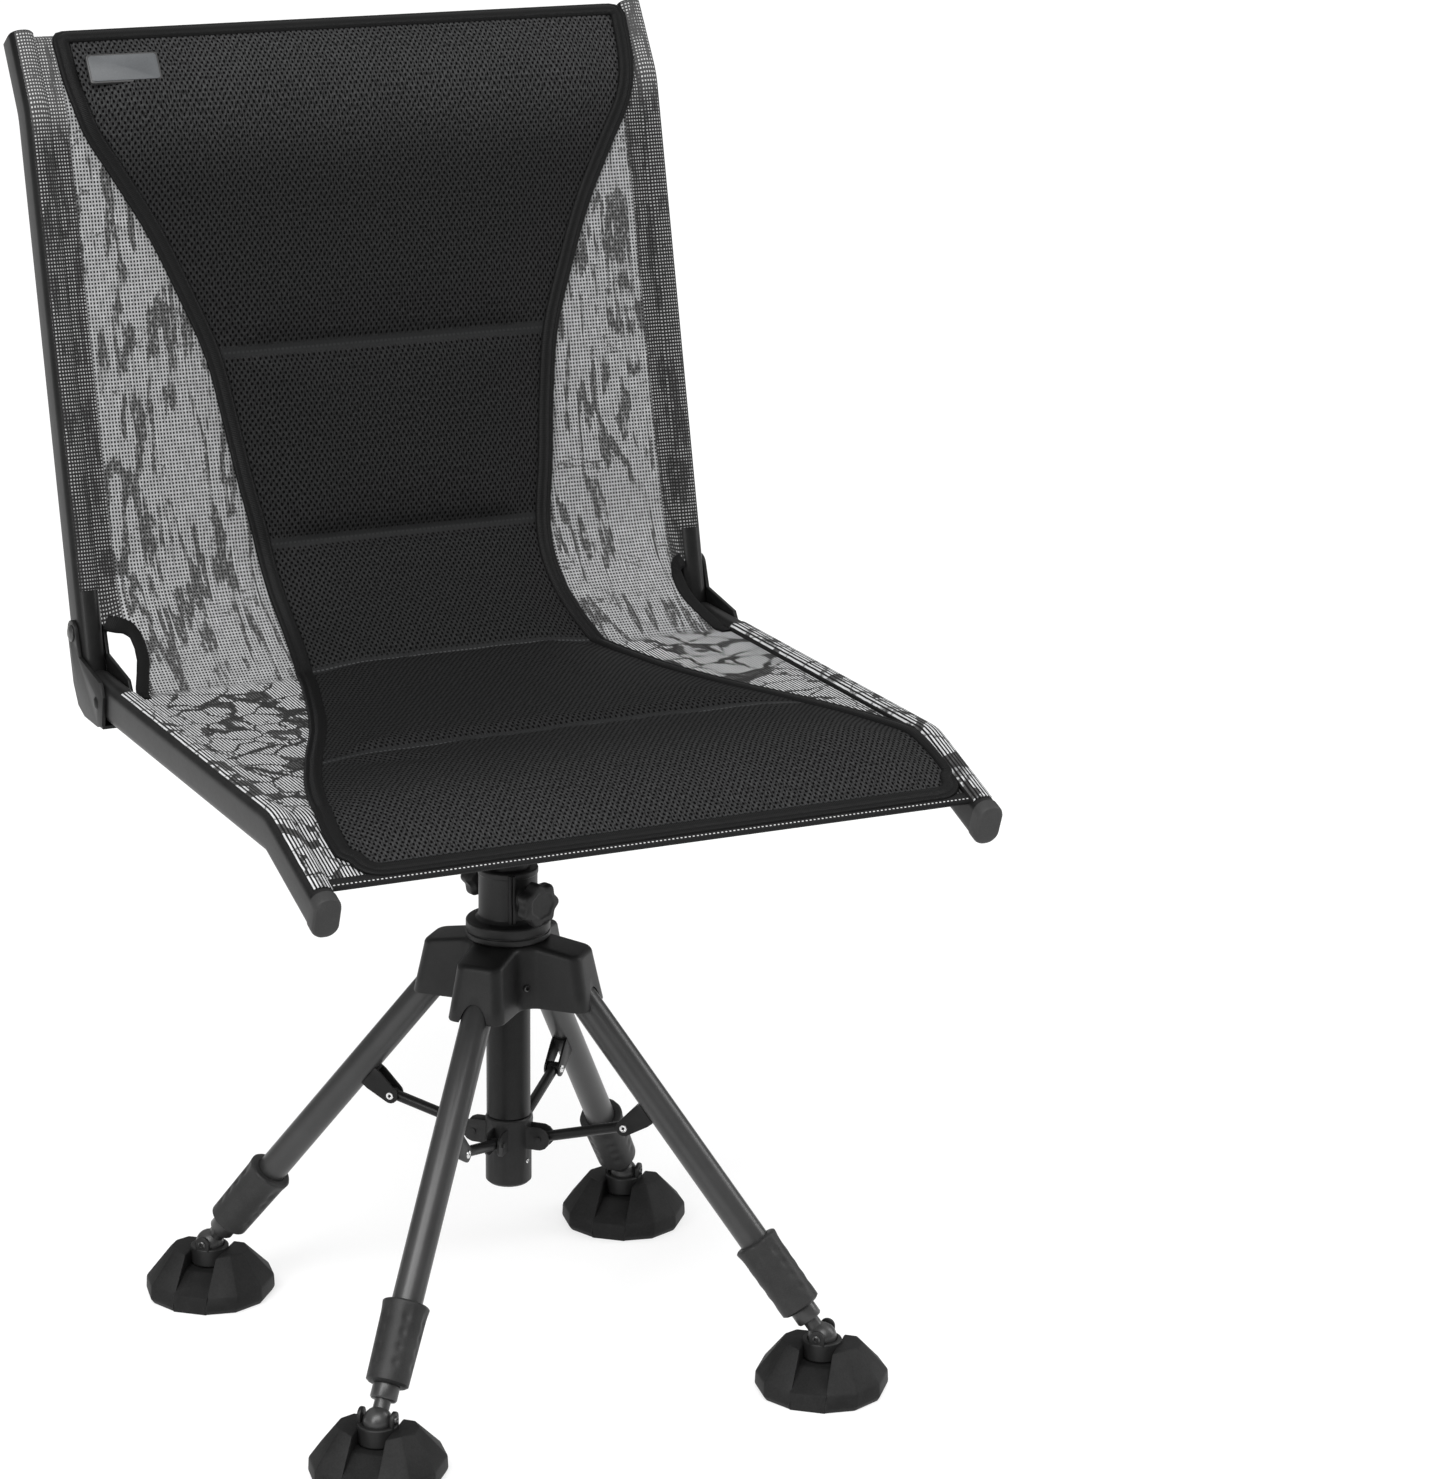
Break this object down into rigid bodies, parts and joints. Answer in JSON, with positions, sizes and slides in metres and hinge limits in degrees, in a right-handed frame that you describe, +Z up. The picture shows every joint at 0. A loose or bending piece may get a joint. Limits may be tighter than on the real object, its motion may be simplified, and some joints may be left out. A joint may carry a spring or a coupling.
{
  "type": "blind swivel chair",
  "caption": "Mesh chair with a padded folding back on a swivelling, height-adjustable post over a folding four-legged base with tilting feet.",
  "frame": {"origin": "on the floor, under the middle of the bounding box", "axes": "+Z up, the seat's front faces -Y, left is -X"},
  "size_m": [0.5106, 0.6208, 0.9369],
  "materials": {
    "powder_coat": "satin powder coat",
    "leg_metal": "satin",
    "hub_plastic": "fine satin texture",
    "grip_plastic": "soft matte",
    "bright_steel": "bright",
    "foot_rubber": "matte",
    "sling_mesh": null,
    "pad_mesh": "black spacer mesh"
  },
  "bodies": {
    "base": {"leg_hub": "hub_plastic", "clamp_sleeve": "hub_plastic", "leg_pin_front_left": "bright_steel", "leg_pin_front_right": "bright_steel", "leg_pin_rear_right": "bright_steel", "leg_pin_rear_left": "bright_steel"},
    "post": {"height_post": "leg_metal", "swivel_bearing": "bright_steel"},
    "seat": {"seat_rail_left": "powder_coat", "seat_rail_right": "powder_coat", "end_cap_left": "grip_plastic", "end_cap_right": "grip_plastic", "hinge_bracket_left": "powder_coat", "hinge_bracket_right": "powder_coat", "hinge_bolt_left": "bright_steel", "hinge_bolt_right": "bright_steel", "cross_bar_front": "powder_coat", "cross_bar_rear": "powder_coat", "rear_stretcher": "powder_coat", "seat_plate": "powder_coat", "swivel_socket": "hub_plastic", "seat_sling": "sling_mesh", "seat_pad": "pad_mesh"},
    "back": {"back_rail_left": "powder_coat", "back_rail_right": "powder_coat", "back_top_tube": "powder_coat", "back_sling": "sling_mesh", "back_pad": "pad_mesh"},
    "height_knob": {"height_knob": "grip_plastic"},
    "lock_knob": {"lock_knob": "grip_plastic"},
    "collar": {"sliding_collar": "hub_plastic"},
    "leg_front_left": {"leg_tube_front_left": "leg_metal", "leg_grip_front_left": "grip_plastic", "leg_bracket_front_left": "powder_coat"},
    "strut_front_left": {"strut_front_left": "leg_metal"},
    "lower_leg_front_left": {"lower_leg_front_left": "leg_metal"},
    "foot_front_left": {"foot_front_left": "foot_rubber", "ball_clamp_front_left": "hub_plastic"},
    "leg_front_right": {"leg_tube_front_right": "leg_metal", "leg_grip_front_right": "grip_plastic", "leg_bracket_front_right": "powder_coat"},
    "strut_front_right": {"strut_front_right": "leg_metal"},
    "lower_leg_front_right": {"lower_leg_front_right": "leg_metal"},
    "foot_front_right": {"foot_front_right": "foot_rubber", "ball_clamp_front_right": "hub_plastic"},
    "leg_rear_right": {"leg_tube_rear_right": "leg_metal", "leg_grip_rear_right": "grip_plastic", "leg_bracket_rear_right": "powder_coat"},
    "strut_rear_right": {"strut_rear_right": "leg_metal"},
    "lower_leg_rear_right": {"lower_leg_rear_right": "leg_metal"},
    "foot_rear_right": {"foot_rear_right": "foot_rubber", "ball_clamp_rear_right": "hub_plastic"},
    "leg_rear_left": {"leg_tube_rear_left": "leg_metal", "leg_grip_rear_left": "grip_plastic", "leg_bracket_rear_left": "powder_coat"},
    "strut_rear_left": {"strut_rear_left": "leg_metal"},
    "lower_leg_rear_left": {"lower_leg_rear_left": "leg_metal"},
    "foot_rear_left": {"foot_rear_left": "foot_rubber", "ball_clamp_rear_left": "hub_plastic"}
  },
  "joints": [
    {"name": "post_height", "type": "slide", "parent": "base", "child": "post", "axis": [0, 0, 1], "range_m": [0, 0.08]},
    {"name": "seat_swivel", "type": "hinge", "parent": "post", "child": "seat", "pos_m": [0, -0.036, 0.41], "axis": [0, 0, 1], "continuous": true},
    {"name": "back_fold", "type": "hinge", "parent": "seat", "child": "back", "pos_m": [0, 0.175, 0.515], "axis": [1, 0, 0], "range_deg": [0, 92]},
    {"name": "height_knob_turn", "type": "hinge", "parent": "base", "child": "height_knob", "pos_m": [0.0088, -0.06884, 0.348], "axis": [0.2588, -0.9659, 0], "continuous": true},
    {"name": "lock_knob_turn", "type": "hinge", "parent": "base", "child": "lock_knob", "pos_m": [-0.0059, -0.00252, 0.352], "axis": [-0.1736, 0.9848, 0], "continuous": true},
    {"name": "leg_fold_front_left", "type": "hinge", "parent": "base", "child": "leg_front_left", "pos_m": [-0.03041, -0.06641, 0.293], "axis": [0.7071, -0.7071, 0], "range_deg": [0, 30]},
    {"name": "leg_fold_front_right", "type": "hinge", "parent": "base", "child": "leg_front_right", "pos_m": [0.03041, -0.06641, 0.293], "axis": [0.7071, 0.7071, 0], "range_deg": [0, 30]},
    {"name": "leg_fold_rear_right", "type": "hinge", "parent": "base", "child": "leg_rear_right", "pos_m": [0.03041, -0.00559, 0.293], "axis": [-0.7071, 0.7071, 0], "range_deg": [0, 30]},
    {"name": "leg_fold_rear_left", "type": "hinge", "parent": "base", "child": "leg_rear_left", "pos_m": [-0.03041, -0.00559, 0.293], "axis": [-0.7071, -0.7071, 0], "range_deg": [0, 30]},
    {"name": "collar_slide", "type": "slide", "parent": "base", "child": "collar", "axis": [0, 0, -1], "range_m": [0, 0.0596]},
    {"name": "strut_turn_front_left", "type": "hinge", "parent": "collar", "child": "strut_front_left", "pos_m": [-0.01803, -0.05403, 0.163], "axis": [-0.7071, 0.7071, 0], "range_deg": [0, 72.1]},
    {"name": "strut_turn_front_right", "type": "hinge", "parent": "collar", "child": "strut_front_right", "pos_m": [0.01803, -0.05403, 0.163], "axis": [-0.7071, -0.7071, 0], "range_deg": [0, 72.1]},
    {"name": "strut_turn_rear_right", "type": "hinge", "parent": "collar", "child": "strut_rear_right", "pos_m": [0.01803, -0.01797, 0.163], "axis": [0.7071, -0.7071, 0], "range_deg": [0, 72.1]},
    {"name": "strut_turn_rear_left", "type": "hinge", "parent": "collar", "child": "strut_rear_left", "pos_m": [-0.01803, -0.01797, 0.163], "axis": [0.7071, 0.7071, 0], "range_deg": [0, 72.1]},
    {"name": "leg_extend_front_left", "type": "slide", "parent": "leg_front_left", "child": "lower_leg_front_left", "axis": [-0.4383, -0.4383, -0.7848], "range_m": [0, 0.06]},
    {"name": "leg_extend_front_right", "type": "slide", "parent": "leg_front_right", "child": "lower_leg_front_right", "axis": [0.4383, -0.4383, -0.7848], "range_m": [0, 0.06]},
    {"name": "leg_extend_rear_right", "type": "slide", "parent": "leg_rear_right", "child": "lower_leg_rear_right", "axis": [0.4383, 0.4383, -0.7848], "range_m": [0, 0.06]},
    {"name": "leg_extend_rear_left", "type": "slide", "parent": "leg_rear_left", "child": "lower_leg_rear_left", "axis": [-0.4383, 0.4383, -0.7848], "range_m": [0, 0.06]},
    {"name": "foot_tilt_front_left", "type": "hinge", "parent": "lower_leg_front_left", "child": "foot_front_left", "pos_m": [-0.17183, -0.20783, 0.03975], "axis": [0.7071, -0.7071, 0], "range_deg": [-15, 15]},
    {"name": "foot_tilt_front_right", "type": "hinge", "parent": "lower_leg_front_right", "child": "foot_front_right", "pos_m": [0.17183, -0.20783, 0.03975], "axis": [0.7071, 0.7071, 0], "range_deg": [-15, 15]},
    {"name": "foot_tilt_rear_right", "type": "hinge", "parent": "lower_leg_rear_right", "child": "foot_rear_right", "pos_m": [0.17183, 0.13583, 0.03975], "axis": [-0.7071, 0.7071, 0], "range_deg": [-15, 15]},
    {"name": "foot_tilt_rear_left", "type": "hinge", "parent": "lower_leg_rear_left", "child": "foot_rear_left", "pos_m": [-0.17183, 0.13583, 0.03975], "axis": [-0.7071, -0.7071, 0], "range_deg": [-15, 15]}
  ],
  "couplings": [
    {"joint": "leg_fold_front_right", "follows": "leg_fold_front_left", "ratio": 1},
    {"joint": "leg_fold_rear_right", "follows": "leg_fold_front_left", "ratio": 1},
    {"joint": "leg_fold_rear_left", "follows": "leg_fold_front_left", "ratio": 1},
    {"joint": "collar_slide", "follows": "leg_fold_front_left", "m_per_rad": 0.11368},
    {"joint": "strut_turn_front_left", "follows": "leg_fold_front_left", "ratio": 2.4002},
    {"joint": "strut_turn_front_right", "follows": "leg_fold_front_left", "ratio": 2.4002},
    {"joint": "strut_turn_rear_right", "follows": "leg_fold_front_left", "ratio": 2.4002},
    {"joint": "strut_turn_rear_left", "follows": "leg_fold_front_left", "ratio": 2.4002}
  ]
}
